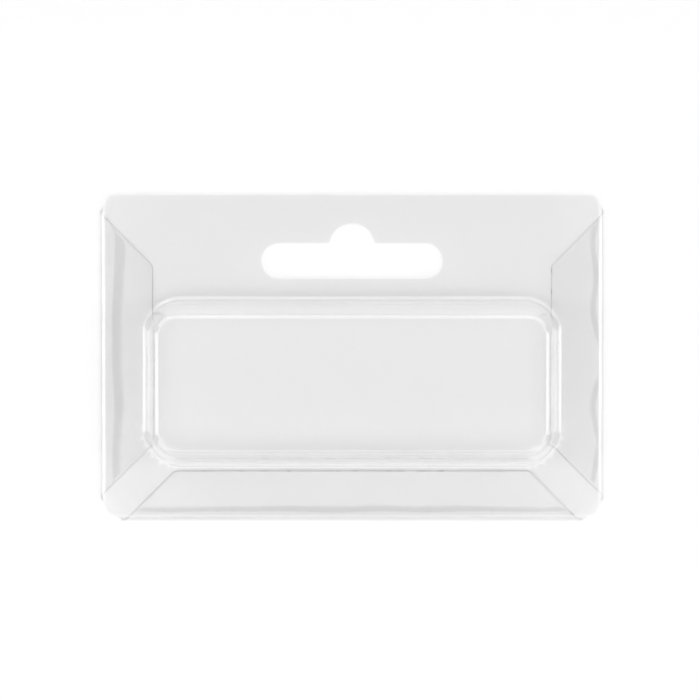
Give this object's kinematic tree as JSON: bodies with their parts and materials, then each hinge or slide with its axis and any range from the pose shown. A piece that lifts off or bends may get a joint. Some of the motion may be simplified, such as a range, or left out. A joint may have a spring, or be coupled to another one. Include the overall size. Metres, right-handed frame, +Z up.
{
  "type": "blister tray",
  "caption": "Clear one-piece slide-card blister tray: flat flange with a hang slot, a drawn rectangular blister, and side and bottom edges hemmed back as channels for a card.",
  "frame": {"origin": "middle of the tray's back: the centre of its outline, on the surface that its flaps lie on", "axes": "+X along the hang slot, +Y towards the open top edge, +Z up out of the blister"},
  "size_m": [0.09, 0.0584, 0.0158],
  "materials": {
    "clear_film": "clear gloss film"
  },
  "bodies": {
    "root": {"blister_tray": "clear_film"}
  },
  "joints": []
}
